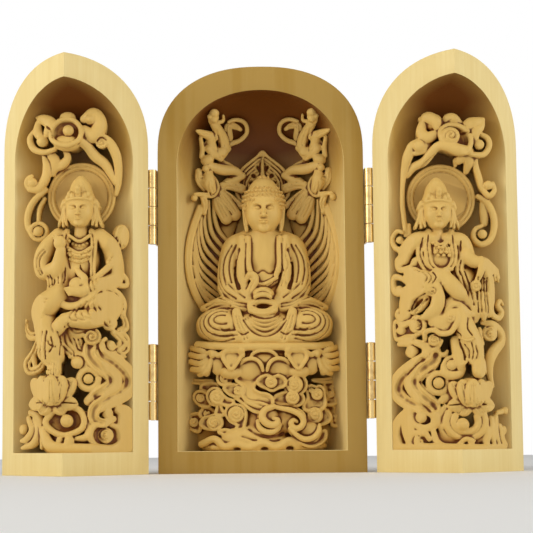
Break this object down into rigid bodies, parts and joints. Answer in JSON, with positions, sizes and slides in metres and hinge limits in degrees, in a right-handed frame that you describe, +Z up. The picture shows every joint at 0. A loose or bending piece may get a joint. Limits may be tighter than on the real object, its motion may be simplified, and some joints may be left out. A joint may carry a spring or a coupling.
{
  "type": "folding shrine box",
  "caption": "Pocket shrine carved in pale wood: a domed post that opens on brass hinges into a middle case and side wings with seated figures in relief.",
  "frame": {"origin": "middle of the middle case's flat underside", "axes": "+Z up, +X to the viewer's right across the open wings, +Y towards the rounded back"},
  "size_m": [0.1264, 0.043, 0.1],
  "materials": {
    "pale_wood": "waxed close-grained boxwood, golden, with darker hollows",
    "brass": "plain sheet and wire, slightly dulled"
  },
  "bodies": {
    "case": {"middle_case": "pale_wood", "left_lower_case_leaf": "brass", "left_lower_case_nail_1": "brass", "left_lower_case_nail_2": "brass", "left_lower_hinge_pin": "brass", "left_upper_case_leaf": "brass", "left_upper_case_nail_1": "brass", "left_upper_case_nail_2": "brass", "left_upper_hinge_pin": "brass", "right_lower_case_leaf": "brass", "right_lower_case_nail_1": "brass", "right_lower_case_nail_2": "brass", "right_lower_hinge_pin": "brass", "right_upper_case_leaf": "brass", "right_upper_case_nail_1": "brass", "right_upper_case_nail_2": "brass", "right_upper_hinge_pin": "brass"},
    "left_wing": {"left_wing": "pale_wood", "left_lower_wing_leaf": "brass", "left_lower_wing_nail_1": "brass", "left_lower_wing_nail_2": "brass", "left_upper_wing_leaf": "brass", "left_upper_wing_nail_1": "brass", "left_upper_wing_nail_2": "brass"},
    "right_wing": {"right_wing": "pale_wood", "right_lower_wing_leaf": "brass", "right_lower_wing_nail_1": "brass", "right_lower_wing_nail_2": "brass", "right_upper_wing_leaf": "brass", "right_upper_wing_nail_1": "brass", "right_upper_wing_nail_2": "brass"}
  },
  "joints": [
    {"name": "left_wing_hinge", "type": "hinge", "parent": "case", "child": "left_wing", "pos_m": [-0.02657, -0.01265, 0.044], "axis": [0, 0, 1], "range_deg": [-42, 138]},
    {"name": "right_wing_hinge", "type": "hinge", "parent": "case", "child": "right_wing", "pos_m": [0.02657, -0.01265, 0.044], "axis": [0, 0, -1], "range_deg": [-42, 138]}
  ]
}
